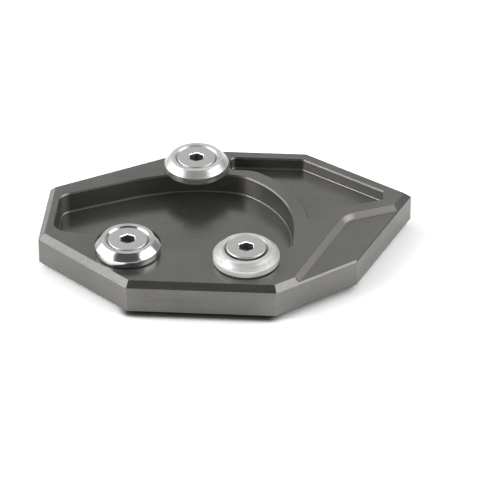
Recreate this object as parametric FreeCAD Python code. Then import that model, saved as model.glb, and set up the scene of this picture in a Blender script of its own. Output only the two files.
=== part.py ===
import FreeCAD, Part

import math
import os

Vector = FreeCAD.Vector
UP = Vector(0, 0, 1)

# Kickstand foot enlarger: a milled plate that widens the foot of a side stand.
# The foot lies in the big pocket and three bevelled washers clamp its rim.
# Millimetres. X runs along the plate, Y across it from front to back, Z is up.
# The origin is the middle of the plate's outline, on the ground.

# Plate outline: eight corners, named from the back of the left end, going round by the front.
# A setback is measured in from the plate's left or right end, an inset from its front or back edge.
plate_length = 107.0
plate_width = 71.8
plate_thickness = 11.2
left_end_lean = 0.6
left_back_inset = 22.9
left_front_inset = 22.8
front_left_setback = 27.4
front_right_setback = 36.95
shoulder_setback = 14.7
shoulder_inset = 17.0
tip_inset = 20.2
back_right_setback = 31.3
back_left_setback = 66.4
top_chamfer = 1.75
bottom_chamfer = 1.7

# Foot pocket: round nose to the right, tapering to the left end. Angles are in degrees.
foot_depth = 6.5
nose_radius = 29.6
nose_rise = 2.4
back_land = 14.1
back_wall_offset = 4.2
back_wall_radius = 60.0
back_taper = 24.8
left_rim = 3.7
front_taper = 14.3
front_bend_setback = 33.0
front_dip = 4.88
front_low_inset = 17.15
front_low_reach = 19.8
front_rise = 6.77
front_bend_radius = 40.0
left_corner_radius = 4.5
nose_corner_radius = 4.0
nose_blend_radius = 10.0

# Step: a shallow flat with a bevelled border, open to the right front edges.
# The border's side runs a little steeper than the plate's side edge.
step_depth = 1.28
step_width = 12.3
step_side_lean = 1.0
step_corner_reach = 19.7
step_back_angle = 23.4
step_corner_radius = 6.5
step_floor_radius = 0.8

# Lightening pocket: a crescent between the foot pocket, the back rim and the step
slot_depth = 3.7
slot_rim = 4.7
slot_nose_web = 4.6
slot_back_web = 2.9
slot_side_web = 3.8
slot_elbow_web = 4.1
slot_left_reach = 9.8
slot_side_length = 7.4
slot_foot_flat = 0.1
slot_tip_height = 4.0
slot_corner_radius = 2.0
slot_bend_radius = 8.0
slot_elbow_radius = 5.0
slot_foot_radius = 4.0
slot_tip_radius = 1.0

# Finish of both pockets
floor_radius = 0.6
edge_break = 0.35

# Clamp washers: a turned disc with a bevelled face and a countersunk bore
washer_diameter = 19.0
washer_height = 4.2
washer_bevel = 1.9
washer_bore = 6.6
washer_sink_diameter = 12.9

# Clamp places: how far each screw's axis stands outside the foot pocket's wall, and its place along it
clamp_back_offset = -0.66
clamp_back_land = 2.95
clamp_front_left_setback = 26.6
clamp_front_left_land = 4.0
clamp_front_right_reach = 12.6
clamp_front_right_land = 4.4

# Countersunk socket screws, M6 x 12, modelled at the pitch diameter of the thread.
# The front right one isn't turned home: its head stands clear of its seat.
thread_pitch_diameter = 5.35
thread_clearance = 0.05
screw_length = 12.0
head_diameter = 11.5
head_rim = 0.6
head_seat_gap = 0.02
head_clear_front_right = 0.68
socket_across_flats = 4.0
socket_depth = 2.6
socket_lead_in = 0.25
socket_point_angle = 120.0
tapped_mouth_chamfer = 0.5
socket_turn_back = 1.0
socket_turn_front_left = 7.0
socket_turn_front_right = 4.0

# Overrun of a cutting tool past the face that it opens, and how near two places count as one
overrun = 5.0
same_place = 0.005


# Plane geometry: a line is a point and a unit direction, and its left side is the inner side

def heading(angle):
    return Vector(math.cos(math.radians(angle)), math.sin(math.radians(angle)), 0)


def left_normal(direction):
    return Vector(-direction.y, direction.x, 0)


def line_between(start, end):
    direction = end - start
    direction.normalize()
    return start, direction


def moved_inward(line, distance):
    point, direction = line
    return point + left_normal(direction) * distance, direction


def at_x(line, x):
    """Point of a line at a given x."""
    point, direction = line
    return point + direction * ((x - point.x) / direction.x)


def crossing(line_a, line_b):
    point_a, direction_a = line_a
    point_b, direction_b = line_b
    span = point_b - point_a
    turn = direction_a.x * direction_b.y - direction_a.y * direction_b.x
    along = (span.x * direction_b.y - span.y * direction_b.x) / turn
    return point_a + direction_a * along


def on_circle(centre, radius, angle):
    return centre + heading(angle) * radius


def circle_at_x(centre, radius, x):
    """Upper point of a circle at a given x."""
    return Vector(x, centre.y + math.sqrt(radius ** 2 - (x - centre.x) ** 2), 0)


def circle_at_y(centre, radius, y):
    """Right-hand point of a circle at a given y."""
    return Vector(centre.x + math.sqrt(radius ** 2 - (y - centre.y) ** 2), y, 0)


def circles_meet(centre_a, radius_a, centre_b, radius_b):
    """The right-hand point where two circles cross."""
    gap = centre_b - centre_a
    distance = gap.Length
    along = (distance ** 2 + radius_a ** 2 - radius_b ** 2) / (2 * distance)
    across = math.sqrt(radius_a ** 2 - along ** 2)
    gap.normalize()
    foot = centre_a + gap * along
    side = left_normal(gap) * across
    first = foot + side
    second = foot - side
    return first if first.x > second.x else second


def arc_edge(centre, radius, start, end):
    """Arc over the shorter way from start to end."""
    middle = (start - centre) + (end - centre)
    middle.normalize()
    return Part.Arc(start, centre + middle * radius, end).toShape()


def straight_edge(start, end):
    return Part.LineSegment(start, end).toShape()


# Solid geometry

def prism(edges, low, high):
    """Upright solid on a closed run of edges drawn at z = 0."""
    face = Part.Face(Part.Wire(edges))
    face.translate(UP * low)
    return face.extrude(UP * (high - low))


def stands_on(vertex, corner):
    return math.hypot(vertex.X - corner.x, vertex.Y - corner.y) < same_place


def round_uprights(solid, corners_and_radii):
    """Fillets the upright edge over each corner."""
    for corner, radius in corners_and_radii:
        upright = [edge for edge in solid.Edges if all(stands_on(v, corner) for v in edge.Vertexes)]
        solid = solid.makeFillet(radius, upright)
    return solid


def lies_level(shape, z):
    return all(abs(v.Z - z) < same_place for v in shape.Vertexes)


def level_edges(solid, z):
    return [edge for edge in solid.Edges if lies_level(edge, z)]


def turned(profile, axis_point):
    """Solid of revolution about an upright axis, from (radius, height) points."""
    points = [axis_point + Vector(radius, 0, height) for radius, height in profile]
    face = Part.Face(Part.makePolygon(points + [points[0]]))
    return face.revolve(axis_point, UP, 360)


# Plate outline

half_length = plate_length / 2
half_width = plate_width / 2

left_back = Vector(-half_length + left_end_lean, half_width - left_back_inset, 0)
left_front = Vector(-half_length, -half_width + left_front_inset, 0)
front_left = Vector(-half_length + front_left_setback, -half_width, 0)
front_right = Vector(half_length - front_right_setback, -half_width, 0)
shoulder = Vector(half_length - shoulder_setback, -half_width + shoulder_inset, 0)
tip = Vector(half_length, half_width - tip_inset, 0)
back_right = Vector(half_length - back_right_setback, half_width, 0)
back_left = Vector(half_length - back_left_setback, half_width, 0)

outline = [left_back, left_front, front_left, front_right, shoulder, tip, back_right, back_left]


def make_blank():
    edges = [straight_edge(a, b) for a, b in zip(outline, outline[1:] + outline[:1])]
    blank = prism(edges, 0, plate_thickness)
    blank = blank.makeChamfer(top_chamfer, level_edges(blank, plate_thickness))
    return blank.makeChamfer(bottom_chamfer, level_edges(blank, 0))


# Layout of the two pockets and the step, from the right end and the back edge inwards:
# step, web, crescent, web, round nose of the foot pocket

side_edge_line = line_between(shoulder, tip)
side_edge_angle = math.degrees(math.atan2(side_edge_line[1].y, side_edge_line[1].x))
step_corner = tip + left_normal(side_edge_line[1]) * step_width - side_edge_line[1] * step_corner_reach
step_side_line = (step_corner, heading(side_edge_angle + step_side_lean))
step_back_line = (step_corner, heading(step_back_angle))

slot_side_line = moved_inward(step_side_line, slot_side_web)
slot_elbow_line = moved_inward(step_back_line, slot_elbow_web)
slot_right_line = moved_inward(line_between(tip, back_right), slot_rim)
slot_back_line = moved_inward(line_between(back_right, back_left), slot_rim)
slot_elbow = crossing(slot_side_line, slot_elbow_line)
slot_back_right = crossing(slot_right_line, slot_back_line)
slot_tip_point = crossing(slot_elbow_line, slot_right_line)
slot_tip_taper = (slot_elbow_line[1].y / slot_elbow_line[1].x
                  - slot_right_line[1].y / slot_right_line[1].x)
slot_tip_x = slot_tip_point.x - slot_tip_height / slot_tip_taper
slot_tip_front = at_x(slot_elbow_line, slot_tip_x)
slot_tip_back = at_x(slot_right_line, slot_tip_x)
slot_foot_round = slot_foot_radius * math.tan(slot_side_line[1].getAngle(heading(0)) / 2)
slot_foot_width = slot_corner_radius + slot_foot_flat + slot_foot_round
slot_bottom_right = slot_elbow - slot_side_line[1] * slot_side_length
slot_bottom_left = slot_bottom_right - heading(0) * slot_foot_width

back_wall_y = half_width - back_land
slot_arc_radius = nose_radius + slot_nose_web
slot_front_y = back_wall_y + slot_back_web
nose_y = back_wall_y + nose_rise - nose_radius
nose_to_foot = math.sqrt(slot_arc_radius ** 2 - (slot_bottom_left.y - nose_y) ** 2)
nose_centre = Vector(slot_bottom_left.x - nose_to_foot, nose_y, 0)
nose_side = nose_centre + heading(0) * nose_radius
clamp_back_x = nose_centre.x + clamp_back_offset
slot_left_front = Vector(clamp_back_x + slot_left_reach, slot_front_y, 0)
slot_left_back = Vector(slot_left_front.x, slot_back_line[0].y, 0)
slot_bend = circle_at_y(nose_centre, slot_arc_radius, slot_front_y)


# Foot pocket

back_wall_centre = Vector(nose_centre.x + back_wall_offset, back_wall_y - back_wall_radius, 0)
back_taper_start = on_circle(back_wall_centre, back_wall_radius, 90 + back_taper)
back_taper_line = (back_taper_start, heading(back_taper))
left_wall_line = moved_inward(line_between(left_back, left_front), left_rim)
front_low = Vector(nose_side.x - front_low_reach, -half_width + front_low_inset, 0)
front_bend = at_x((front_low, heading(-front_dip)), -half_length + front_bend_setback)
front_rise_line = (front_low, heading(front_rise))
front_nose = at_x(front_rise_line, nose_side.x)
front_taper_line = (front_bend, heading(-front_taper))
foot_left_back = crossing(left_wall_line, back_taper_line)
foot_left_front = crossing(left_wall_line, front_taper_line)
nose_top = circles_meet(nose_centre, nose_radius, back_wall_centre, back_wall_radius)
nose_corner_round = min(nose_corner_radius, nose_side.y - front_nose.y)


def make_foot_cutter():
    edges = [
        straight_edge(foot_left_back, foot_left_front),
        straight_edge(foot_left_front, front_bend),
        straight_edge(front_bend, front_low),
        straight_edge(front_low, front_nose),
        straight_edge(front_nose, nose_side),
        arc_edge(nose_centre, nose_radius, nose_side, nose_top),
        arc_edge(back_wall_centre, back_wall_radius, nose_top, back_taper_start),
        straight_edge(back_taper_start, foot_left_back),
    ]
    floor = plate_thickness - foot_depth
    cutter = prism(edges, floor, plate_thickness + overrun)
    cutter = round_uprights(cutter, [
        (foot_left_back, left_corner_radius),
        (foot_left_front, left_corner_radius),
        (front_bend, front_bend_radius),
        (front_low, front_bend_radius),
        (front_nose, nose_corner_round),
        (nose_top, nose_blend_radius),
    ])
    return cutter.makeFillet(floor_radius, level_edges(cutter, floor))


# Step

def make_step_cutter():
    """Border lines at the top face; the bevel brings them in to the floor."""
    past_front = step_corner - step_side_line[1] * plate_length
    past_side = step_corner + step_back_line[1] * plate_length
    far_corner = Vector(past_side.x, past_front.y, 0)
    edges = [
        straight_edge(step_corner, past_front),
        straight_edge(past_front, far_corner),
        straight_edge(far_corner, past_side),
        straight_edge(past_side, step_corner),
    ]
    floor = plate_thickness - step_depth
    cutter = prism(edges, floor, plate_thickness + overrun)
    cutter = round_uprights(cutter, [(step_corner, step_corner_radius)])

    def border(solid):
        return [edge for edge in level_edges(solid, floor)
                if not any(stands_on(v, far_corner) for v in edge.Vertexes)]

    cutter = cutter.makeChamfer(step_depth, border(cutter))
    return cutter.makeFillet(step_floor_radius, border(cutter))


# Lightening pocket

def make_slot_cutter():
    edges = [
        straight_edge(slot_left_front, slot_bend),
        arc_edge(nose_centre, slot_arc_radius, slot_bend, slot_bottom_left),
        straight_edge(slot_bottom_left, slot_bottom_right),
        straight_edge(slot_bottom_right, slot_elbow),
        straight_edge(slot_elbow, slot_tip_front),
        straight_edge(slot_tip_front, slot_tip_back),
        straight_edge(slot_tip_back, slot_back_right),
        straight_edge(slot_back_right, slot_left_back),
        straight_edge(slot_left_back, slot_left_front),
    ]
    floor = plate_thickness - slot_depth
    cutter = prism(edges, floor, plate_thickness + overrun)
    cutter = round_uprights(cutter, [
        (slot_left_front, slot_corner_radius),
        (slot_bend, slot_bend_radius),
        (slot_bottom_left, slot_corner_radius),
        (slot_bottom_right, slot_foot_radius),
        (slot_elbow, slot_elbow_radius),
        (slot_tip_front, slot_tip_radius),
        (slot_tip_back, slot_tip_radius),
        (slot_back_right, slot_corner_radius),
        (slot_left_back, slot_corner_radius),
    ])
    return cutter.makeFillet(floor_radius, level_edges(cutter, floor))


# Clamp places, worked out from the foot pocket's wall

def in_front_of(line, distance, x):
    """Point at a given x, a distance outside a straight wall."""
    return at_x(moved_inward(line, -distance), x)


clamp_front_left_x = -half_length + clamp_front_left_setback
clamp_front_right_x = nose_side.x - clamp_front_right_reach
clamp_back = circle_at_x(back_wall_centre, back_wall_radius + clamp_back_land, clamp_back_x)
clamp_front_left = in_front_of(front_taper_line, clamp_front_left_land, clamp_front_left_x)
clamp_front_right = in_front_of(front_rise_line, clamp_front_right_land, clamp_front_right_x)

clamps = [
    ("back", clamp_back, socket_turn_back, head_seat_gap),
    ("front_left", clamp_front_left, socket_turn_front_left, head_seat_gap),
    ("front_right", clamp_front_right, socket_turn_front_right, head_clear_front_right),
]

tapped_radius = thread_pitch_diameter / 2 + thread_clearance


def make_tapped_hole(place):
    """Hole right through the plate, with a countersunk mouth at the underside."""
    mouth = tapped_radius + tapped_mouth_chamfer
    return turned([
        (0, -overrun),
        (mouth, -overrun),
        (mouth, 0),
        (tapped_radius, tapped_mouth_chamfer),
        (tapped_radius, plate_thickness + overrun),
        (0, plate_thickness + overrun),
    ], place)


def pocket_rims(plate):
    """Edges of the openings in the plate's top face."""
    top = [face for face in plate.Faces if lies_level(face, plate_thickness)][0]
    return [edge for wire in top.Wires if not wire.isSame(top.OuterWire) for edge in wire.Edges]


def make_plate():
    plate = make_blank()
    plate = plate.cut(make_foot_cutter())
    plate = plate.cut(make_slot_cutter())
    plate = plate.makeChamfer(edge_break, pocket_rims(plate))
    plate = plate.cut(make_step_cutter())
    for name, place, turn, head_gap in clamps:
        plate = plate.cut(make_tapped_hole(place))
    return plate


# Clamp washers and screws

def make_washer(place):
    seat = place + UP * plate_thickness
    radius = washer_diameter / 2
    sink_depth = (washer_sink_diameter - washer_bore) / 2
    return turned([
        (washer_bore / 2, 0),
        (radius, 0),
        (radius, washer_height - washer_bevel),
        (radius - washer_bevel, washer_height),
        (washer_sink_diameter / 2, washer_height),
        (washer_bore / 2, washer_height - sink_depth),
    ], seat)


# The head's rim stands above its cone, which seats in the washer's cone
head_drop = (washer_sink_diameter - head_diameter) / 2 - head_rim
seated_top = plate_thickness + washer_height - head_drop


def make_screw(place, turn, head_gap):
    """Countersunk head over the washer's cone, with a hexagon socket."""
    top = place + UP * (seated_top + head_gap)
    head_radius = head_diameter / 2
    shank_radius = thread_pitch_diameter / 2
    cone_height = head_radius - shank_radius
    screw = turned([
        (0, 0),
        (head_radius, 0),
        (head_radius, -head_rim),
        (shank_radius, -head_rim - cone_height),
        (shank_radius, -screw_length),
        (0, -screw_length),
    ], top)
    corner_radius = socket_across_flats / math.sqrt(3)
    corners = [top + heading(turn + 90 + 60 * step) * corner_radius for step in range(6)]
    hexagon = Part.Face(Part.makePolygon(corners + [corners[0]]))
    socket = hexagon.extrude(UP * -socket_depth)
    drill_radius = socket_across_flats / 2
    point_depth = drill_radius / math.tan(math.radians(socket_point_angle / 2))
    drill_point = Part.makeCone(drill_radius, 0, point_depth, top - UP * socket_depth, UP * -1)
    mouth_radius = corner_radius + socket_lead_in
    lead_in = Part.makeCone(mouth_radius, 0, mouth_radius, top, UP * -1)
    return screw.cut(socket.fuse(drill_point)).cut(lead_in)


def save(name, shape):
    shape = shape.removeSplitter()
    assert shape.isValid(), name
    assert len(shape.Solids) == 1, name
    shape.Solids[0].exportStep(os.path.join("parts", name + ".step"))
    print(name, round(shape.Volume, 1), "mm3")


os.makedirs("parts", exist_ok=True)
save("base_plate", make_plate())
for name, place, turn, head_gap in clamps:
    save("clamp_washer_" + name, make_washer(place))
    save("clamp_screw_" + name, make_screw(place, turn, head_gap))
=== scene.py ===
import math

import bpy
from bpy.props import FloatProperty, FloatVectorProperty, IntProperty, PointerProperty
from bpy.types import Operator, Panel, PropertyGroup
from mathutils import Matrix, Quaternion, Vector


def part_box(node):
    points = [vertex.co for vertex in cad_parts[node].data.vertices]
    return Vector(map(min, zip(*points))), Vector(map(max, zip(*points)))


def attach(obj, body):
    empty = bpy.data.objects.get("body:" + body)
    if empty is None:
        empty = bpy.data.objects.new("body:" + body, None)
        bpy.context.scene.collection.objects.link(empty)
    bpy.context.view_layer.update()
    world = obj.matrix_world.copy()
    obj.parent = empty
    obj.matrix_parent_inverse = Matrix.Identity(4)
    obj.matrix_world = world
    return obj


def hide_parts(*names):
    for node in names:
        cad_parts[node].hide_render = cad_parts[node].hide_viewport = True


bl_info = {
    "name": "Kickstand Foot Enlarger",
    "version": (1, 0, 0),
    "blender": (4, 5, 0),
    "location": "View3D > Sidebar > Foot Enlarger",
    "description": "Finishes the milled plate, turns its clamp washers and screws, and sets the stage",
    "category": "Object",
}

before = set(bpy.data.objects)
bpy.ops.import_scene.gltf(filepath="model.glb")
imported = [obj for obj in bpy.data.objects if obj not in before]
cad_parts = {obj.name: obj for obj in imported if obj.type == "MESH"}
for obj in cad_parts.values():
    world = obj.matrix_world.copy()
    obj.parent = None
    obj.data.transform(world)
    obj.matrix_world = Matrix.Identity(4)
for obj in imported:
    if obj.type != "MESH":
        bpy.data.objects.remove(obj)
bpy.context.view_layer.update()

MM = 0.001
WHITE = (1.0, 1.0, 1.0, 1.0)
CLAMPS = ("back", "front_left", "front_right")
# Turn of each hexagon socket about its axis, in degrees
SOCKET_TURNS = {"back": 1.0, "front_left": 7.0, "front_right": 4.0}

# Edges sharper than this are rounded, and flatter ones are shaded smooth
SHARP_EDGE = math.radians(25)
BEVEL_SEGMENTS = 3
# Square that a profile's first point is made from, and the gap under which points are one
SEED_SIZE = 0.1 * MM
SAME_POINT = 0.001 * MM
# Side of the floor, in metres
FLOOR_SIZE = 6.0

# Directions of the step's two lines, of the plate's edges beside it and of the milling, each
# turned left from the plate's length
STEP_SIDE = math.radians(68.0)
STEP_BACK = math.radians(23.4)
FRONT_RIGHT_EDGE = math.radians(36.9)
RIGHT_EDGE = math.radians(67.0)
LAY_TURN = math.radians(6)

# Octaves of the noise patterns
FEW_OCTAVES = 2.0
MORE_OCTAVES = 3.0


def linear(hex_code):
    """Linear colour of an sRGB hex value."""
    channels = [int(hex_code[i:i + 2], 16) / 255 for i in (0, 2, 4)]
    return tuple(c / 12.92 if c <= 0.04045 else ((c + 0.055) / 1.055) ** 2.4 for c in channels)


def length(name, description, millimetres):
    return FloatProperty(name=name, description=description, default=millimetres * MM, min=0.0,
                         unit="LENGTH", subtype="DISTANCE", precision=5)


def share(name, description, default):
    return FloatProperty(name=name, description=description, default=default, min=0.0, max=1.0,
                         subtype="FACTOR")


def colour(name, description, hex_code):
    return FloatVectorProperty(name=name, description=description, default=linear(hex_code),
                               size=3, min=0.0, max=1.0, subtype="COLOR")


class PlateSettings(PropertyGroup):
    dye: colour("Dye", "Grey of the anodised layer", "686764")
    dye_pale: colour("Pale dye", "Anodised layer where it took less dye", "787774")
    # Pale edge colour, partly wear of the thin anodising and partly painted highlight
    wear_and_highlight: colour("Worn and highlighted edge", "Thin anodising along the edges", "9C9A95")
    roughness: share("Roughness", "Satin of the milled and anodised faces", 0.23)
    wall_roughness: share("Wall roughness", "Satin of the upright walls, cut by the mill's side", 0.34)
    edge_round: length("Edge rounding", "Radius that tumbling leaves on sharp edges", 0.16)
    wall_round: length("Wall rounding", "The same radius at the edges of the upright walls", 0.35)
    # Grain and tool marks are finer on a real plate, and are drawn this coarse so that they show
    grain: length("Grain", "Size of the etched grain", 0.45)
    lay: length("Milling lay", "Spacing of the tool marks", 0.45)
    thickness: length("Thickness", "Thickness of the plate", 11.2)
    top_chamfer: length("Top chamfer", "Chamfer round the top", 1.75)
    step_corner: FloatVectorProperty(name="Step corner", description="Corner of the step's border",
                                     size=3, default=(34.39 * MM, 2.43 * MM, 0.0),
                                     subtype="XYZ", unit="LENGTH")
    shoulder: FloatVectorProperty(name="Shoulder", description="Corner of the plate by the step",
                                  size=3, default=(38.8 * MM, -18.9 * MM, 0.0),
                                  subtype="XYZ", unit="LENGTH")
    step_bevel: length("Step bevel", "Width of the step's bevelled border, with its floor round", 1.7)
    step_round: length("Step rounding", "Radius round the step's corner, for the bevel's mask", 2.1)
    # Painted light: the scalloped bevel is drawn paler for the light it catches
    step_lit_tone: colour("Step lit tone", "Anodised layer on the scalloped bevel", "85837F")
    step_finish: share("Step finish", "Roughness of the bevel, cut in scallops", 0.38)
    scallop: length("Scallop", "Spacing of the cutter's scallops on the bevel", 0.6)


class WasherSettings(PropertyGroup):
    bevel: length("Bevel", "Width and height of the bevelled face", 1.9)
    foot_chamfer: length("Foot chamfer", "Chamfer at the lower rim", 0.4)
    bore: length("Bore", "Diameter of the hole", 6.6)
    sink: length("Countersink", "Diameter of the countersink at the face", 12.9)
    edge_round: length("Edge rounding", "Rounding of the turned edges", 0.12)
    steps: IntProperty(name="Steps", description="Faces round the washer", default=128, min=24)
    steel: colour("Steel", "Bare turned stainless steel", "DCDCDA")
    # Painted shade: the back washer's rim is drawn darker
    steel_rim_shade: colour("Steel rim", "Darker rim of the same", "B6B6B4")
    dull: colour("Dull steel", "The same steel with a coarser finish", "DADAD8")
    # Painted light: the front right washer's rim is drawn paler
    dull_rim_light: colour("Dull rim", "Paler rim of the coarser one", "FFFFFE")
    polished: colour("Polished steel", "The same steel where it is polished", "D6D6D5")
    # The marks are finer on a real washer, and are drawn this coarse so that they show
    feed: length("Feed", "Spacing of the lathe's tool marks", 0.75)


class ScrewSettings(PropertyGroup):
    head: length("Head", "Diameter of the countersunk head", 11.5)
    head_rim: length("Head rim", "Height of the cylindrical rim", 0.6)
    rim_chamfer: length("Rim chamfer", "Chamfer round the top of the head", 0.28)
    shank: length("Shank", "Pitch diameter of the thread", 5.35)
    end_chamfer: length("End chamfer", "Chamfer at the end of the shank", 0.8)
    edge_round: length("Edge rounding", "Rounding of the head's edges", 0.12)
    socket: length("Socket", "Width across the socket's flats", 4.0)
    socket_depth: length("Socket depth", "Depth of the flats", 2.6)
    socket_lead: length("Socket lead-in", "Width of the chamfer round the socket's mouth", 0.22)
    steps: IntProperty(name="Steps", description="Faces round the head", default=96, min=24)
    steel: colour("Steel", "Matt stainless steel", "C9C9C7")
    # Painted highlight on the cut round the socket's mouth
    socket_lip_highlight: colour("Socket lip", "Bright cut at the socket's mouth", "F0F0EE")
    # Painted shade down in the punched socket
    socket_painted_shade: colour("Socket", "Dark metal down in the punched socket", "9A9A9A")


class StageSettings(PropertyGroup):
    camera: FloatVectorProperty(name="Camera", description="Place of the camera", size=3,
                                default=(0.05306, -0.77036, 0.5312), subtype="XYZ", unit="LENGTH")
    target: FloatVectorProperty(name="Target", description="Point that the camera looks at",
                                size=3, default=(0.00699, -0.001, 0.0), subtype="XYZ",
                                unit="LENGTH")
    lens: FloatProperty(name="Lens", description="Focal length, in millimetres on a 36 mm sensor",
                        default=230.4, min=1.0)
    sky: FloatProperty(name="Sky", description="Level of the studio's white walls", default=0.8,
                       min=0.0)
    left_lamp: FloatProperty(name="Left lamp", description="Power of the left softbox",
                             default=5.1, min=0.0, unit="POWER")
    fill_lamp: FloatProperty(name="Fill lamp", description="Power of the small lamp at the left",
                             default=2.0, min=0.0, unit="POWER")
    right_lamp: FloatProperty(name="Right lamp", description="Power of the right softbox",
                              default=4.8, min=0.0, unit="POWER")
    floor: colour("Floor", "Pale floor", "E6E6E6")
    floor_gap: length("Floor gap", "Keeps the floor off the plate's lower face", 0.02)
    contact: length("Contact shadow", "Reach of the deep shadow close under the plate", 2.5)
    contact_side: share("Side contact", "Depth of that shadow right of the front face", 0.35)
    seen_lift: share("Seen lift", "How much lighter the camera sees the floor", 0.57)
    glossy_lift: share("Glossy lift", "How much lighter the metal sees the floor", 0.85)
    front_dim: share("Front dim", "How much of that the metal misses in front", 0.45)
    left_dim: share("Left dim", "How much of that the metal misses at the far left", 0.6)


class FootEnlargerSettings(PropertyGroup):
    plate: PointerProperty(type=PlateSettings)
    washer: PointerProperty(type=WasherSettings)
    screw: PointerProperty(type=ScrewSettings)
    stage: PointerProperty(type=StageSettings)


# Modelling

def deselect():
    bpy.ops.object.select_all(action="DESELECT")


def make_active(obj):
    deselect()
    obj.select_set(True)
    bpy.context.view_layer.objects.active = obj


def turned(name, profile, steps):
    """Spins a closed or pole-to-pole outline of (radius, height) points about the Z axis."""
    deselect()
    first_radius, first_height = profile[0]
    bpy.ops.mesh.primitive_plane_add(size=SEED_SIZE, location=(first_radius, 0, first_height))
    obj = bpy.context.object
    obj.name = name
    obj.data.name = name
    bpy.ops.object.transform_apply(location=True, rotation=True, scale=True)
    bpy.ops.object.mode_set(mode="EDIT")
    bpy.ops.mesh.merge(type="CENTER")
    for (radius, height), (next_radius, next_height) in zip(profile, profile[1:]):
        step = (next_radius - radius, 0, next_height - height)
        bpy.ops.mesh.extrude_vertices_move(TRANSFORM_OT_translate={"value": step})
    bpy.ops.mesh.select_all(action="SELECT")
    bpy.ops.mesh.spin(steps=steps, angle=math.tau, center=(0, 0, 0), axis=(0, 0, 1))
    bpy.ops.mesh.select_all(action="SELECT")
    bpy.ops.mesh.remove_doubles(threshold=SAME_POINT)
    bpy.ops.mesh.normals_make_consistent(inside=False)
    bpy.ops.object.mode_set(mode="OBJECT")
    return obj


def cut_away(obj, cutter):
    """Cuts a cutter's shape out of a piece and removes the cutter."""
    make_active(obj)
    cut = obj.modifiers.new("cut", "BOOLEAN")
    cut.operation = "DIFFERENCE"
    cut.solver = "EXACT"
    cut.object = cutter
    bpy.ops.object.modifier_apply(modifier=cut.name)
    bpy.data.objects.remove(cutter)


def round_edges(obj, width):
    """Rounds the sharp edges and shades the rest smooth."""
    make_active(obj)
    bevel = obj.modifiers.new("edges", "BEVEL")
    bevel.width = width
    bevel.segments = BEVEL_SEGMENTS
    bevel.limit_method = "ANGLE"
    bevel.angle_limit = SHARP_EDGE
    bpy.ops.object.modifier_apply(modifier=bevel.name)
    bpy.ops.object.shade_smooth_by_angle(angle=SHARP_EDGE)


def put_at(master, name, place, turn=0.0):
    """Copies a piece to its place; the copy has its own mesh, and its object stays at the origin."""
    obj = master.copy()
    obj.data = master.data.copy()
    obj.name = name
    obj.data.name = name
    bpy.context.scene.collection.objects.link(obj)
    make_active(obj)
    obj.location = place
    obj.rotation_euler.z = turn
    bpy.ops.object.transform_apply(location=True, rotation=True, scale=True)
    return obj


def stand_for(obj, node):
    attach(obj, "root")
    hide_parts(node)


# Materials

def new_material(name):
    material = bpy.data.materials.new(name)
    material.use_nodes = True
    material.node_tree.nodes.clear()
    return material


def node(tree, kind, inputs=(), **settings):
    """Adds a node with its settings. Each input is (socket, value), the value a number or an output."""
    made = tree.nodes.new(kind)
    for key, value in settings.items():
        setattr(made, key, value)
    for socket, value in inputs:
        if isinstance(value, bpy.types.NodeSocket):
            tree.links.new(value, made.inputs[socket])
        else:
            made.inputs[socket].default_value = value
    return made


def opaque(rgb):
    return (*rgb, 1.0)


def give(obj, material):
    if obj.data.materials:
        for index in range(len(obj.data.materials)):
            obj.data.materials[index] = material
    else:
        obj.data.materials.append(material)


def beside(tree, place, point, angle):
    """How far a place lies to the left of a line through a point, seen from above."""
    normal = Vector((-math.sin(angle), math.cos(angle), 0.0))
    across = node(tree, "ShaderNodeVectorMath", [(0, place), (1, normal)], operation="DOT_PRODUCT")
    return node(tree, "ShaderNodeMath", [
        (0, across.outputs["Value"]), (1, normal.dot(Vector(point)))], operation="SUBTRACT").outputs[0]


# Mask of the step's bevel: play at its edges, depth that it reaches, and the share of its width
# that lies between its pale rims, where a highlight is painted
BORDER_PLAY = 0.1 * MM
BORDER_DEPTH = 2.2 * MM
BORDER_MIDDLE = 0.72


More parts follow.
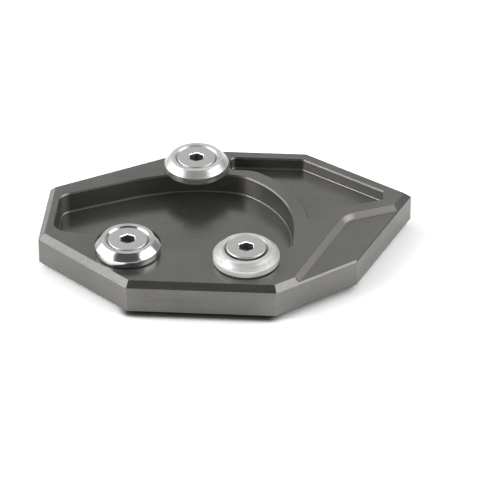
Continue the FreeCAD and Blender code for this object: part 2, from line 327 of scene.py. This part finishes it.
def step_border(tree, place, settings):
    """Masks of the step's bevelled border, a band along its two lines and off the outer
    chamfers, and of the pale rims of its back part, where a highlight is painted."""
    to_side = beside(tree, place, settings.step_corner, STEP_SIDE)
    to_back = beside(tree, place, settings.step_corner, STEP_BACK)
    nearest = node(tree, "ShaderNodeMath", [(0, to_side), (1, to_back), (2, settings.step_round)],
                   operation="SMOOTH_MAX")
    half = settings.step_bevel / 2
    mask = node(tree, "ShaderNodeMath", [
        (0, nearest.outputs[0]), (1, BORDER_PLAY - half), (2, half)],
        operation="COMPARE").outputs[0]
    height = node(tree, "ShaderNodeSeparateXYZ", [(0, place)]).outputs["Z"]
    from_front = beside(tree, place, settings.shoulder, FRONT_RIGHT_EDGE)
    from_side = beside(tree, place, settings.shoulder, RIGHT_EDGE)
    depth = node(tree, "ShaderNodeMath", [(0, settings.thickness), (1, height)],
                 operation="SUBTRACT").outputs[0]
    for edge in (from_front, from_side):
        # The outer chamfer is as much narrower as the place lies deeper
        past_chamfer = node(tree, "ShaderNodeMath", [(0, edge), (1, depth)], operation="ADD")
        inside = node(tree, "ShaderNodeMath", [
            (0, past_chamfer.outputs[0]), (1, settings.top_chamfer + BORDER_PLAY)],
            operation="GREATER_THAN")
        mask = node(tree, "ShaderNodeMath", [(0, mask), (1, inside.outputs[0])],
                    operation="MULTIPLY").outputs[0]
    shallow = node(tree, "ShaderNodeMath", [(0, depth), (1, BORDER_DEPTH)], operation="LESS_THAN")
    mask = node(tree, "ShaderNodeMath", [(0, mask), (1, shallow.outputs[0])],
                operation="MULTIPLY").outputs[0]
    on_back = node(tree, "ShaderNodeMath", [(0, to_back), (1, to_side)], operation="GREATER_THAN")
    middle = node(tree, "ShaderNodeMath", [
        (0, nearest.outputs[0]), (1, BORDER_PLAY - half), (2, BORDER_MIDDLE * half)],
        operation="COMPARE")
    rims = node(tree, "ShaderNodeMath", [(0, mask), (1, middle.outputs[0])], operation="SUBTRACT")
    back_rim_highlights = node(tree, "ShaderNodeMath", [
        (0, rims.outputs[0]), (1, on_back.outputs[0])], operation="MULTIPLY", use_clamp=True)
    return mask, back_rim_highlights.outputs[0]


# How far a face looks up, from 0 on a wall to 1 on a flat: where walls end and flats begin
WALLS_END = 0.3
FLATS_BEGIN = 0.6
# Cosine of the tilt that rounding gives a normal, where the edges' pale tone starts and is full
PALE_EDGE_STARTS = 0.998
PALE_EDGE_FULL = 0.95
EDGE_SAMPLES = 6
# Share of the pale edge colour, part wear and part painted highlight, along edges of walls and flats
PALE_EDGE_ON_WALLS = 0.4
PALE_EDGE_ON_FLATS = 0.7
# Width of a tool mark over its length, and the size of the patches that took less dye
LAY_STRETCH = 0.015
PATCH_SIZE = 14 * MM
# Sum of the three patterns where the dye is darkest and where it is palest
DYE_DARKEST = 1.1
DYE_PALEST = 1.9
LAY_NOISE_ROUGHNESS = 0.6
# Depth of the marks in the surface, and how strongly each one shows
MARK_DEPTH = 0.02 * MM
GRAIN_STRENGTH = 0.012
LAY_STRENGTH = 0.018
SCALLOP_DEPTH = 0.01 * MM
SCALLOP_STRENGTH = 0.3
# Less than 1, because the dyed layer over the metal scatters some light
LAYER_METALLIC = 0.8


def anodised_aluminium(settings):
    """Milled, etched and dyed aluminium: a dark satin metal with fine grain, faint tool marks,
    a pale line along the edges that is partly wear and partly painted highlight, and a step
    bevel painted paler for the light it catches."""
    material = new_material("anodised_aluminium_milled")
    tree = material.node_tree
    place = node(tree, "ShaderNodeTexCoord").outputs["Object"]
    geometry = node(tree, "ShaderNodeNewGeometry")
    facing = node(tree, "ShaderNodeSeparateXYZ", [(0, geometry.outputs["True Normal"])])
    upward = node(tree, "ShaderNodeMath", [(0, facing.outputs["Z"])], operation="ABSOLUTE")

    step, step_rim_highlights = step_border(tree, place, settings)

    # Edge mask: where the rounded normal departs from the face's own
    by_slope = [("Value", upward.outputs[0]), ("From Min", WALLS_END), ("From Max", FLATS_BEGIN)]
    radius = node(tree, "ShaderNodeMapRange", by_slope + [
        ("To Min", settings.wall_round), ("To Max", settings.edge_round)])
    rounded = node(tree, "ShaderNodeBevel", [("Radius", radius.outputs[0])],
                   samples=EDGE_SAMPLES)
    alike = node(tree, "ShaderNodeVectorMath",
                 [(0, rounded.outputs[0]), (1, geometry.outputs["Normal"])],
                 operation="DOT_PRODUCT")
    edge = node(tree, "ShaderNodeMapRange", [
        ("Value", alike.outputs["Value"]), ("From Min", PALE_EDGE_STARTS), ("From Max", PALE_EDGE_FULL),
        ("To Min", 0.0), ("To Max", 1.0)])

    # Tool marks: long streaks along the plate on its flats, level lines round its sides
    flat_lay = node(tree, "ShaderNodeMapping", [
        ("Vector", place), ("Scale", (LAY_STRETCH, 1.0, 1.0)), ("Rotation", (0.0, 0.0, LAY_TURN))])
    side_lay = node(tree, "ShaderNodeMapping", [
        ("Vector", place), ("Scale", (LAY_STRETCH, LAY_STRETCH, 1.0))])
    lay_place = node(tree, "ShaderNodeMix", [
        ("Factor", upward.outputs[0]), (4, side_lay.outputs[0]), (5, flat_lay.outputs[0])],
        data_type="VECTOR")
    lay = node(tree, "ShaderNodeTexNoise", [
        ("Vector", lay_place.outputs[1]), ("Scale", 1.0 / settings.lay),
        ("Detail", MORE_OCTAVES), ("Roughness", LAY_NOISE_ROUGHNESS)])
    grain = node(tree, "ShaderNodeTexNoise", [
        ("Vector", place), ("Scale", 1.0 / settings.grain), ("Detail", FEW_OCTAVES)])
    cloud = node(tree, "ShaderNodeTexNoise", [
        ("Vector", place), ("Scale", 1.0 / PATCH_SIZE), ("Detail", MORE_OCTAVES)])

    patches = node(tree, "ShaderNodeMath", [
        (0, cloud.outputs["Fac"]), (1, lay.outputs["Fac"])], operation="ADD")
    speckled = node(tree, "ShaderNodeMath", [
        (0, patches.outputs[0]), (1, grain.outputs["Fac"])], operation="ADD")
    taken = node(tree, "ShaderNodeMapRange", [
        ("Value", speckled.outputs[0]), ("From Min", DYE_DARKEST), ("From Max", DYE_PALEST)])
    dye = node(tree, "ShaderNodeMix", [
        ("Factor", taken.outputs[0]), (6, opaque(settings.dye)),
        (7, opaque(settings.dye_pale))], data_type="RGBA")
    # The step's bevel is painted paler, standing for the light it catches
    tone = node(tree, "ShaderNodeMix", [
        ("Factor", step), (6, dye.outputs[2]), (7, opaque(settings.step_lit_tone))], data_type="RGBA")
    # Pale tone on the edges and the bevel's back rims: partly wear, partly painted highlight
    rims = node(tree, "ShaderNodeMath", [(0, edge.outputs[0]), (1, step_rim_highlights)],
                operation="MAXIMUM")
    most_wear_and_highlight = node(tree, "ShaderNodeMapRange", by_slope + [
        ("To Min", PALE_EDGE_ON_WALLS), ("To Max", PALE_EDGE_ON_FLATS)])
    wear_and_highlight_share = node(tree, "ShaderNodeMath", [
        (0, rims.outputs[0]), (1, most_wear_and_highlight.outputs[0])], operation="MULTIPLY")
    wear_and_highlight = node(tree, "ShaderNodeMix", [
        ("Factor", wear_and_highlight_share.outputs[0]), (6, tone.outputs[2]), (7, opaque(settings.wear_and_highlight))],
        data_type="RGBA")
    satin = node(tree, "ShaderNodeMapRange", by_slope + [
        ("To Min", settings.wall_roughness), ("To Max", settings.roughness)])
    roughness = node(tree, "ShaderNodeMix", [
        ("Factor", step), (2, satin.outputs[0]), (3, settings.step_finish)])

    # Scallops across the step's bevel
    along = beside(tree, place, settings.step_corner, STEP_BACK - math.radians(90))
    turn = node(tree, "ShaderNodeMath", [(0, along), (1, math.tau / settings.scallop)],
                operation="MULTIPLY")
    wave = node(tree, "ShaderNodeMath", [(0, turn.outputs[0])], operation="SINE")
    scallops = node(tree, "ShaderNodeMath", [(0, wave.outputs[0]), (1, step)], operation="MULTIPLY")

    grain_bump = node(tree, "ShaderNodeBump", [
        ("Strength", GRAIN_STRENGTH), ("Distance", MARK_DEPTH), ("Height", grain.outputs["Fac"]),
        ("Normal", rounded.outputs[0])])
    lay_bump = node(tree, "ShaderNodeBump", [
        ("Strength", LAY_STRENGTH), ("Distance", MARK_DEPTH), ("Height", lay.outputs["Fac"]),
        ("Normal", grain_bump.outputs[0])])
    scallop_bump = node(tree, "ShaderNodeBump", [
        ("Strength", SCALLOP_STRENGTH), ("Distance", SCALLOP_DEPTH),
        ("Height", scallops.outputs[0]), ("Normal", lay_bump.outputs[0])])
    shader = node(tree, "ShaderNodeBsdfPrincipled", [
        ("Base Color", wear_and_highlight.outputs[2]), ("Metallic", LAYER_METALLIC),
        ("Roughness", roughness.outputs[0]), ("Normal", scallop_bump.outputs[0])])
    node(tree, "ShaderNodeOutputMaterial", [("Surface", shader.outputs[0])])
    return material


def about_axis(tree, place, centre):
    """A place seen from a turned piece's own centre, and how far it lies from the piece's axis."""
    local = node(tree, "ShaderNodeMapping", [
        ("Vector", place), ("Location", tuple(-c for c in centre))]).outputs[0]
    level = node(tree, "ShaderNodeVectorMath", [(0, local), (1, (1.0, 1.0, 0.0))],
                 operation="MULTIPLY")
    radius = node(tree, "ShaderNodeVectorMath", [(0, level.outputs[0])], operation="LENGTH")
    return local, radius.outputs["Value"]


# Length of pattern to each radian round the axis, which breaks the rings up, and the size of the
# smudges over them
RING_ARC = 0.8 * MM
SMUDGE_SIZE = 2.5 * MM
RING_NOISE_ROUGHNESS = 0.6
# Product of the two patterns where the finish is smoothest and roughest, and how many times its
# roughness it has there
SMOOTHEST = 0.1
ROUGHEST = 0.5
SMOOTHEST_SHARE = 0.7
ROUGHEST_SHARE = 1.4
# A face that looks up or down by less than this is part of the rim
RIM_LIMIT = 0.4
# Pattern where the rings start and are full, and how dark they then are
RINGS_START = 0.35
RINGS_FULL = 0.65
RING_SHADE = 0.72


def turned_steel(name, centre, settings, steel, rim, metallic, roughness, groove):
    """Lathe-turned stainless steel: bright, with broken rings that the tool left round the axis,
    and the upright rim in its own tone, which paints shade or light on it."""
    material = new_material(name)
    tree = material.node_tree
    place = node(tree, "ShaderNodeTexCoord").outputs["Object"]
    local, radius = about_axis(tree, place, centre)
    spot = node(tree, "ShaderNodeSeparateXYZ", [(0, local)])
    along = node(tree, "ShaderNodeMath", [(0, radius), (1, spot.outputs["Z"])],
                 operation="SUBTRACT")
    # The angle round the axis, with its jump at the back
    toward_front = node(tree, "ShaderNodeMath", [(0, spot.outputs["Y"]), (1, -1.0)],
                        operation="MULTIPLY")
    angle = node(tree, "ShaderNodeMath", [
        (0, spot.outputs["X"]), (1, toward_front.outputs[0])], operation="ARCTAN2")
    arc = node(tree, "ShaderNodeMath", [(0, angle.outputs[0]), (1, RING_ARC)],
               operation="MULTIPLY")
    ring_place = node(tree, "ShaderNodeCombineXYZ", [
        ("X", along.outputs[0]), ("Y", arc.outputs[0])])
    rings = node(tree, "ShaderNodeTexNoise", [
        ("Vector", ring_place.outputs[0]), ("Scale", 1.0 / settings.feed),
        ("Detail", MORE_OCTAVES), ("Roughness", RING_NOISE_ROUGHNESS)], noise_dimensions="2D")
    smudge = node(tree, "ShaderNodeTexNoise", [
        ("Vector", local), ("Scale", 1.0 / SMUDGE_SIZE), ("Detail", FEW_OCTAVES)])
    both = node(tree, "ShaderNodeMath", [
        (0, rings.outputs["Fac"]), (1, smudge.outputs["Fac"])], operation="MULTIPLY")
    rough = node(tree, "ShaderNodeMapRange", [
        ("Value", both.outputs[0]), ("From Min", SMOOTHEST), ("From Max", ROUGHEST),
        ("To Min", SMOOTHEST_SHARE * roughness), ("To Max", ROUGHEST_SHARE * roughness)])
    facing = node(tree, "ShaderNodeSeparateXYZ", [
        (0, node(tree, "ShaderNodeNewGeometry").outputs["True Normal"])])
    upright = node(tree, "ShaderNodeMath", [
        (0, facing.outputs["Z"]), (1, 0.0), (2, RIM_LIMIT)], operation="COMPARE")
    # The upright rim takes its own tone, which paints shade or light there
    ground = node(tree, "ShaderNodeMix", [
        ("Factor", upright.outputs[0]), (6, opaque(steel)), (7, opaque(rim))], data_type="RGBA")
    lines = node(tree, "ShaderNodeMapRange", [
        ("Value", rings.outputs["Fac"]), ("From Min", RINGS_START), ("From Max", RINGS_FULL),
        ("To Min", 1.0), ("To Max", RING_SHADE)])
    tone = node(tree, "ShaderNodeVectorMath", [
        (0, ground.outputs[2]), ("Scale", lines.outputs[0])], operation="SCALE")
    bump = node(tree, "ShaderNodeBump", [
        ("Strength", 1.0), ("Distance", groove), ("Height", rings.outputs["Fac"])])
    shader = node(tree, "ShaderNodeBsdfPrincipled", [
        ("Base Color", tone.outputs[0]), ("Metallic", metallic),
        ("Roughness", rough.outputs[0]), ("Normal", bump.outputs[0])])
    node(tree, "ShaderNodeOutputMaterial", [("Surface", shader.outputs[0])])
    return material


# Reach of the socket from its axis, over its width across flats
SOCKET_REACH = 0.7
# Heights under the head's face where the painted highlight starts, and where painted shade starts and
# is full
MOUTH_STARTS = -0.02 * MM
PAINTED_SHADE_STARTS = -0.2 * MM
PAINTED_SHADE_FULL = -0.26 * MM
# Grain is finer on a real screw, and is drawn this coarse so that it shows
SCREW_GRAIN = 0.35 * MM
SCREW_NOISE_ROUGHNESS = 0.7
# Grain pattern at its smoothest and roughest, and the roughness there
GRAIN_LOW = 0.3
GRAIN_HIGH = 0.7
ROUGHNESS_LOW = 0.34
ROUGHNESS_HIGH = 0.48
GRAIN_SHADE = 0.86
LIP_ROUGHNESS = 0.25
SCREW_BUMP = 0.25
SCREW_BUMP_DEPTH = 0.02 * MM


def matt_steel(name, centre, settings):
    """Passivated stainless steel screw: greyer and duller than turned steel, with a fine grain,
    a painted highlight on the cut round the socket's mouth and painted shade down in the
    punched socket."""
    material = new_material(name)
    tree = material.node_tree
    place = node(tree, "ShaderNodeTexCoord").outputs["Object"]
    local, radius = about_axis(tree, place, centre)
    within = node(tree, "ShaderNodeMath", [
        (0, radius), (1, SOCKET_REACH * settings.socket)], operation="LESS_THAN")
    height = node(tree, "ShaderNodeSeparateXYZ", [(0, local)])
    below = node(tree, "ShaderNodeMapRange", [
        ("Value", height.outputs["Z"]), ("From Min", PAINTED_SHADE_STARTS), ("From Max", PAINTED_SHADE_FULL)])
    painted_shade = node(tree, "ShaderNodeMath", [
        (0, within.outputs[0]), (1, below.outputs[0])], operation="MULTIPLY")
    grain = node(tree, "ShaderNodeTexNoise", [
        ("Vector", place), ("Scale", 1.0 / SCREW_GRAIN), ("Detail", MORE_OCTAVES),
        ("Roughness", SCREW_NOISE_ROUGHNESS)])
    rough = node(tree, "ShaderNodeMapRange", [
        ("Value", grain.outputs["Fac"]), ("From Min", GRAIN_LOW), ("From Max", GRAIN_HIGH),
        ("To Min", ROUGHNESS_LOW), ("To Max", ROUGHNESS_HIGH)])
    tone = node(tree, "ShaderNodeMix", [
        ("Factor", grain.outputs["Fac"]), (6, opaque(settings.steel)),
        (7, opaque(tuple(GRAIN_SHADE * c for c in settings.steel)))], data_type="RGBA")
    # The cut round the socket's mouth gets a painted highlight
    mouth = node(tree, "ShaderNodeMath", [
        (0, height.outputs["Z"]), (1, MOUTH_STARTS)], operation="LESS_THAN")
    cut = node(tree, "ShaderNodeMath", [
        (0, within.outputs[0]), (1, mouth.outputs[0])], operation="MULTIPLY")
    lip_highlight = node(tree, "ShaderNodeMix", [
        ("Factor", cut.outputs[0]), (6, tone.outputs[2]), (7, opaque(settings.socket_lip_highlight))],
        data_type="RGBA")
    # Painted shade down in the socket
    shade = node(tree, "ShaderNodeMix", [
        ("Factor", painted_shade.outputs[0]), (6, lip_highlight.outputs[2]),
        (7, opaque(settings.socket_painted_shade))], data_type="RGBA")
    bright = node(tree, "ShaderNodeMath", [(0, cut.outputs[0]), (1, painted_shade.outputs[0])],
                  operation="SUBTRACT", use_clamp=True)
    finish = node(tree, "ShaderNodeMix", [
        ("Factor", bright.outputs[0]), (2, rough.outputs[0]), (3, LIP_ROUGHNESS)])
    bump = node(tree, "ShaderNodeBump", [
        ("Strength", SCREW_BUMP), ("Distance", SCREW_BUMP_DEPTH),
        ("Height", grain.outputs["Fac"])])
    shader = node(tree, "ShaderNodeBsdfPrincipled", [
        ("Base Color", shade.outputs[2]), ("Metallic", 1.0), ("Roughness", finish.outputs[0]),
        ("Normal", bump.outputs[0])])
    node(tree, "ShaderNodeOutputMaterial", [("Surface", shader.outputs[0])])
    return material


def band(tree, value, rise, fall):
    """1 between a rise and a fall of the value, 0 outside them; each is (from, to) in mm."""
    edges = [node(tree, "ShaderNodeMapRange", [
        ("Value", value), ("From Min", low * MM), ("From Max", high * MM)])
        for low, high in (rise, tuple(reversed(fall)))]
    return node(tree, "ShaderNodeMath", [(0, edges[0].outputs[0]), (1, edges[1].outputs[0])],
                operation="MULTIPLY").outputs[0]


# Stretches along the plate's length, in mm, where the shadow under it is deep, and where the metal
# sees the floor in front dimmer: each rises over the first pair and falls over the second
DEEPEST = ((-29, -26), (14.5, 18.5))
DEEP = ((-30, -26), (36, 40))
DIM_FRONT = ((-30, -24), (10, 18))
# Open share of the sky over the floor where the shadow is full, and the light that is left there
SHADOW_FULL = 0.4
SHADOW_LIGHT = 0.1
SHADOW_SAMPLES = 16


def contact_shadow(tree, across, settings):
    """Factor that deepens the shadow on the floor close under the plate, most at its front."""
    hidden = node(tree, "ShaderNodeAmbientOcclusion", [("Distance", settings.contact)],
                  samples=SHADOW_SAMPLES)
    painted_shade = node(tree, "ShaderNodeMapRange", [
        ("Value", hidden.outputs["AO"]), ("From Min", SHADOW_FULL), ("To Min", SHADOW_LIGHT)],
        interpolation_type="SMOOTHSTEP")
    front = node(tree, "ShaderNodeMath", [
        (0, band(tree, across, *DEEPEST)), (1, 1 - settings.contact_side)],
        operation="MULTIPLY")
    whole = node(tree, "ShaderNodeMath", [
        (0, band(tree, across, *DEEP)), (1, settings.contact_side),
        (2, front.outputs[0])], operation="MULTIPLY_ADD")
    return node(tree, "ShaderNodeMix", [
        ("Factor", whole.outputs[0]), (2, 1.0), (3, painted_shade.outputs[0])]).outputs[0]


# Distance from the middle where the floor starts to turn plain white, and where it is
FADE_STARTS = 0.10
FADE_FULL = 0.22
# Place at the left where the metal starts to see the floor dimmer, and where that is full
LEFT_STARTS = -60 * MM
LEFT_FULL = -80 * MM


def white_floor(settings):
    """Matt white card. The camera and metal see it lighter, with its shadows in proportion, and
    far off it is plain white."""
    material = new_material("white_card_floor")
    tree = material.node_tree
    place = node(tree, "ShaderNodeTexCoord").outputs["Object"]
    distance = node(tree, "ShaderNodeVectorMath", [(0, place)], operation="LENGTH")
    far = node(tree, "ShaderNodeMapRange", [
        ("Value", distance.outputs["Value"]), ("From Min", FADE_STARTS),
        ("From Max", FADE_FULL)],
        interpolation_type="SMOOTHSTEP")
    path = node(tree, "ShaderNodeLightPath")
    seen = node(tree, "ShaderNodeMath", [
        (0, path.outputs["Is Camera Ray"]), (1, path.outputs["Is Glossy Ray"])],
        operation="MAXIMUM")
    card = node(tree, "ShaderNodeBsdfDiffuse", [("Color", opaque(settings.floor))])
    across = node(tree, "ShaderNodeSeparateXYZ", [(0, place)]).outputs["X"]
    front = band(tree, across, *DIM_FRONT)
    from_front = node(tree, "ShaderNodeMath", [
        (0, front), (1, -settings.front_dim), (2, settings.glossy_lift + settings.floor[0])],
        operation="MULTIPLY_ADD")
    left = node(tree, "ShaderNodeMapRange", [
        ("Value", across), ("From Min", LEFT_STARTS), ("From Max", LEFT_FULL)])
    to_metal = node(tree, "ShaderNodeMath", [
        (0, left.outputs[0]), (1, -settings.left_dim), (2, from_front.outputs[0])],
        operation="MULTIPLY_ADD")
    seen_colour = node(tree, "ShaderNodeMix", [
        ("Factor", path.outputs["Is Glossy Ray"]), (2, settings.seen_lift + settings.floor[0]),
        (3, to_metal.outputs[0])])
    shaded = node(tree, "ShaderNodeMath", [
        (0, seen_colour.outputs[0]), (1, contact_shadow(tree, across, settings))],
        operation="MULTIPLY")
    open_floor = node(tree, "ShaderNodeBsdfDiffuse", [("Color", shaded.outputs[0])])
    white = node(tree, "ShaderNodeEmission", [("Color", WHITE), ("Strength", 1.0)])
    shown = node(tree, "ShaderNodeMixShader", [
        (0, far.outputs[0]), (1, open_floor.outputs[0]), (2, white.outputs[0])])
    both = node(tree, "ShaderNodeMixShader", [
        (0, seen.outputs[0]), (1, card.outputs[0]), (2, shown.outputs[0])])
    node(tree, "ShaderNodeOutputMaterial", [("Surface", both.outputs[0])])
    return material


def wall_patch(tree, direction, toward, starts, full, around, inside):
    """A level of the walls that turns into another toward a direction, with a soft border
    between two angles from it, in degrees."""
    near = node(tree, "ShaderNodeVectorMath", [
        (0, direction), (1, Vector(toward).normalized())], operation="DOT_PRODUCT")
    return node(tree, "ShaderNodeMapRange", [
        ("Value", near.outputs["Value"]), ("From Min", math.cos(math.radians(starts))),
        ("From Max", math.cos(math.radians(full))), ("To Min", around), ("To Max", inside)],
        interpolation_type="SMOOTHSTEP").outputs[0]


# Directions of the walls' dark patch, above the camera, and of the dimmer one behind the right
# end, and the share of the light that each keeps
DARK_PATCH = (0.0, -0.616, 0.788)
DARK_SHARE = 0.15
DIM_PATCH = (0.81, 0.49, 0.33)
DIM_SHARE = 0.45


def studio_walls(settings):
    """White walls round the stage, darker above the camera; the camera sees plain white."""
    world = bpy.data.worlds.new("studio_walls")
    bpy.context.scene.world = world
    world.use_nodes = True
    tree = world.node_tree
    tree.nodes.clear()
    direction = node(tree, "ShaderNodeTexCoord").outputs["Generated"]
    dark = wall_patch(tree, direction, DARK_PATCH, starts=40, full=28,
                      around=settings.sky, inside=DARK_SHARE * settings.sky)
    dim = wall_patch(tree, direction, DIM_PATCH, starts=38, full=12, around=1.0,
                     inside=DIM_SHARE)
    level = node(tree, "ShaderNodeMath", [(0, dark), (1, dim)], operation="MULTIPLY")
    path = node(tree, "ShaderNodeLightPath")
    walls = node(tree, "ShaderNodeBackground", [
        ("Color", WHITE), ("Strength", level.outputs[0])])
    white = node(tree, "ShaderNodeBackground", [("Color", WHITE), ("Strength", 1.0)])
    shown = node(tree, "ShaderNodeMixShader", [
        (0, path.outputs["Is Camera Ray"]), (1, walls.outputs[0]), (2, white.outputs[0])])
    node(tree, "ShaderNodeOutputWorld", [("Surface", shown.outputs[0])])


def aim(obj, place, target, roll=0.0):
    """Points an object's -Z axis at a target, then rolls it about that axis."""
    turn = (Vector(target) - Vector(place)).to_track_quat("-Z", "Y")
    obj.location = place
    obj.rotation_mode = "QUATERNION"
    obj.rotation_quaternion = turn @ Quaternion((0, 0, 1), roll)


# Operators

class FOOTPLATE_OT_finish_plate(Operator):
    """Give the milled plate its anodised finish"""
    bl_idname = "footplate.finish_plate"
    bl_label = "Finish Plate"

    def execute(self, context):
        settings = context.scene.footplate.plate
        give(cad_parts["base_plate"], anodised_aluminium(settings))
        return {"FINISHED"}


class FOOTPLATE_OT_turn_washers(Operator):
    """Turn the bevelled clamp washer and put one at each clamp"""
    bl_idname = "footplate.turn_washers"
    bl_label = "Turn Washers"

    def execute(self, context):
        settings = context.scene.footplate.washer
        low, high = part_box("clamp_washer_back")
        radius = (high.x - low.x) / 2
        height = high.z - low.z
        bore = settings.bore / 2
        sink = settings.sink / 2
        outline = [
            (bore, 0),
            (radius - settings.foot_chamfer, 0),
            (radius, settings.foot_chamfer),
            (radius, height - settings.bevel),
            (radius - settings.bevel, height),
            (sink, height),
            (bore, height - (sink - bore)),
            (bore, 0),
        ]
        master = turned("washer_master", outline, settings.steps)
        round_edges(master, settings.edge_round)
        # The front left washer is polished, the other two keep the lathe's finish
        finishes = {
            # Its rim carries painted shade
            "back": {
                "steel": settings.steel, "rim": settings.steel_rim_shade,
                "metallic": 0.7, "roughness": 0.34, "groove": 0.03 * MM},
            "front_left": {
                "steel": settings.polished, "rim": settings.polished,
                "metallic": 1.0, "roughness": 0.15, "groove": 0.01 * MM},
            # Its rim carries painted light
            "front_right": {
                "steel": settings.dull, "rim": settings.dull_rim_light,
                "metallic": 0.5, "roughness": 0.54, "groove": 0.08 * MM},
        }
        for clamp in CLAMPS:
            cad_node = "clamp_washer_" + clamp
            low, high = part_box(cad_node)
            centre = (low + high) / 2
            centre.z = low.z
            washer = put_at(master, "turned_washer_" + clamp, centre)
            give(washer, turned_steel("stainless_steel_turned_" + clamp, centre, settings,
                                      **finishes[clamp]))
            stand_for(washer, cad_node)
        bpy.data.objects.remove(master)
        return {"FINISHED"}


# Half the angle of the drill's point under the socket, its faces, its width over the flats', and
# how far it reaches up into the socket
DRILL_HALF_ANGLE = math.radians(60)
DRILL_FACES = 48
DRILL_WIDTH = 0.98
DRILL_OVERLAP = 0.001 * MM
# Sides of the socket, and half the angle that one side takes
SOCKET_SIDES = 6
HALF_SIDE = math.radians(30)


class FOOTPLATE_OT_make_screws(Operator):
    """Make the countersunk socket screw and put one in each clamp"""
    bl_idname = "footplate.make_screws"
    bl_label = "Make Screws"

    def execute(self, context):
        settings = context.scene.footplate.screw
        low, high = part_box("clamp_screw_back")
        whole = high.z - low.z
        head = settings.head / 2
        shank = settings.shank / 2
        cone_foot = -settings.head_rim - (head - shank)
        outline = [
            (0, 0),
            (head - settings.rim_chamfer, 0),
            (head, -settings.rim_chamfer),
            (head, -settings.head_rim),
            (shank, cone_foot),
            (shank, -whole + settings.end_chamfer),
            (shank - settings.end_chamfer, -whole),
            (0, -whole),
        ]
        master = turned("screw_master", outline, settings.steps)
        round_edges(master, settings.edge_round)
        # The socket, the drill's point under it, and the six-sided chamfer round its mouth
        corner = settings.socket / math.sqrt(3)
        deselect()
        bpy.ops.mesh.primitive_cylinder_add(
            vertices=SOCKET_SIDES, radius=corner, depth=2 * settings.socket_depth,
            location=(0, 0, 0))
        cut_away(master, bpy.context.object)
        point = settings.socket / 2 / math.tan(DRILL_HALF_ANGLE)
        deselect()
        bpy.ops.mesh.primitive_cone_add(
            vertices=DRILL_FACES, radius1=0, radius2=DRILL_WIDTH * settings.socket / 2,
            depth=point, location=(0, 0, -settings.socket_depth - point / 2 + DRILL_OVERLAP))
        cut_away(master, bpy.context.object)
        mouth = settings.socket / 2 + settings.socket_lead
        deselect()
        bpy.ops.mesh.primitive_cone_add(
            vertices=SOCKET_SIDES, radius1=0, radius2=2 * mouth / math.cos(HALF_SIDE),
            depth=2 * mouth, location=(0, 0, 0))
        cut_away(master, bpy.context.object)
        make_active(master)
        bpy.ops.object.shade_smooth_by_angle(angle=SHARP_EDGE)
        for clamp in CLAMPS:
            cad_node = "clamp_screw_" + clamp
            low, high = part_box(cad_node)
            centre = (low + high) / 2
            centre.z = high.z
            turn = math.radians(SOCKET_TURNS[clamp])
            screw = put_at(master, "socket_screw_" + clamp, centre, turn)
            give(screw, matt_steel("stainless_steel_passivated_" + clamp, centre, settings))
            stand_for(screw, cad_node)
        bpy.data.objects.remove(master)
        return {"FINISHED"}


class FOOTPLATE_OT_set_stage(Operator):
    """Set the white floor, the soft lamps and the camera"""
    bl_idname = "footplate.set_stage"
    bl_label = "Set Stage"

    def execute(self, context):
        settings = context.scene.footplate.stage
        scene = context.scene
        scene.view_settings.view_transform = "Standard"
        deselect()
        bpy.ops.mesh.primitive_plane_add(size=FLOOR_SIZE, location=(0, 0, -settings.floor_gap))
        floor = context.object
        floor.name = "floor"
        give(floor, white_floor(settings))
        studio_walls(settings)
        lamps = [
            {"name": "left_softbox", "place": (-0.907, 0.087, 0.545), "size": (1.15, 0.72),
             "roll": 18, "power": settings.left_lamp},
            {"name": "left_fill", "place": (-0.808, -0.394, 0.562), "size": (0.36, 0.3),
             "roll": 0, "power": settings.fill_lamp},
            {"name": "right_softbox", "place": (0.882, -0.015, 0.69), "size": (0.98, 0.66),
             "roll": 0, "power": settings.right_lamp},
        ]
        for lamp in lamps:
            light = bpy.data.lights.new(lamp["name"], "AREA")
            light.shape = "RECTANGLE"
            light.size, light.size_y = lamp["size"]
            light.energy = lamp["power"]
            box = bpy.data.objects.new(lamp["name"], light)
            scene.collection.objects.link(box)
            aim(box, lamp["place"], (0, 0, 0), math.radians(lamp["roll"]))
        camera = bpy.data.objects.new("camera", bpy.data.cameras.new("camera"))
        scene.collection.objects.link(camera)
        camera.data.lens = settings.lens
        aim(camera, settings.camera, settings.target)
        scene.camera = camera
        return {"FINISHED"}


class FOOTPLATE_PT_panel(Panel):
    """Lists the sizes, the colours and the steps"""
    bl_label = "Foot Enlarger"
    bl_space_type = "VIEW_3D"
    bl_region_type = "UI"
    bl_category = "Foot Enlarger"

    def draw(self, context):
        settings = context.scene.footplate
        for group, operator in (
            (settings.plate, FOOTPLATE_OT_finish_plate),
            (settings.washer, FOOTPLATE_OT_turn_washers),
            (settings.screw, FOOTPLATE_OT_make_screws),
            (settings.stage, FOOTPLATE_OT_set_stage),
        ):
            box = self.layout.box()
            for name in group.bl_rna.properties.keys():
                if name not in ("rna_type", "name"):
                    box.prop(group, name)
            box.operator(operator.bl_idname)


CLASSES = (
    PlateSettings,
    WasherSettings,
    ScrewSettings,
    StageSettings,
    FootEnlargerSettings,
    FOOTPLATE_OT_finish_plate,
    FOOTPLATE_OT_turn_washers,
    FOOTPLATE_OT_make_screws,
    FOOTPLATE_OT_set_stage,
    FOOTPLATE_PT_panel,
)


def register():
    for cls in CLASSES:
        bpy.utils.register_class(cls)
    bpy.types.Scene.footplate = PointerProperty(type=FootEnlargerSettings)


def unregister():
    del bpy.types.Scene.footplate
    for cls in reversed(CLASSES):
        bpy.utils.unregister_class(cls)


def main():
    register()
    bpy.ops.footplate.set_stage()
    bpy.ops.footplate.finish_plate()
    bpy.ops.footplate.turn_washers()
    bpy.ops.footplate.make_screws()


if __name__ == "__main__":
    main()
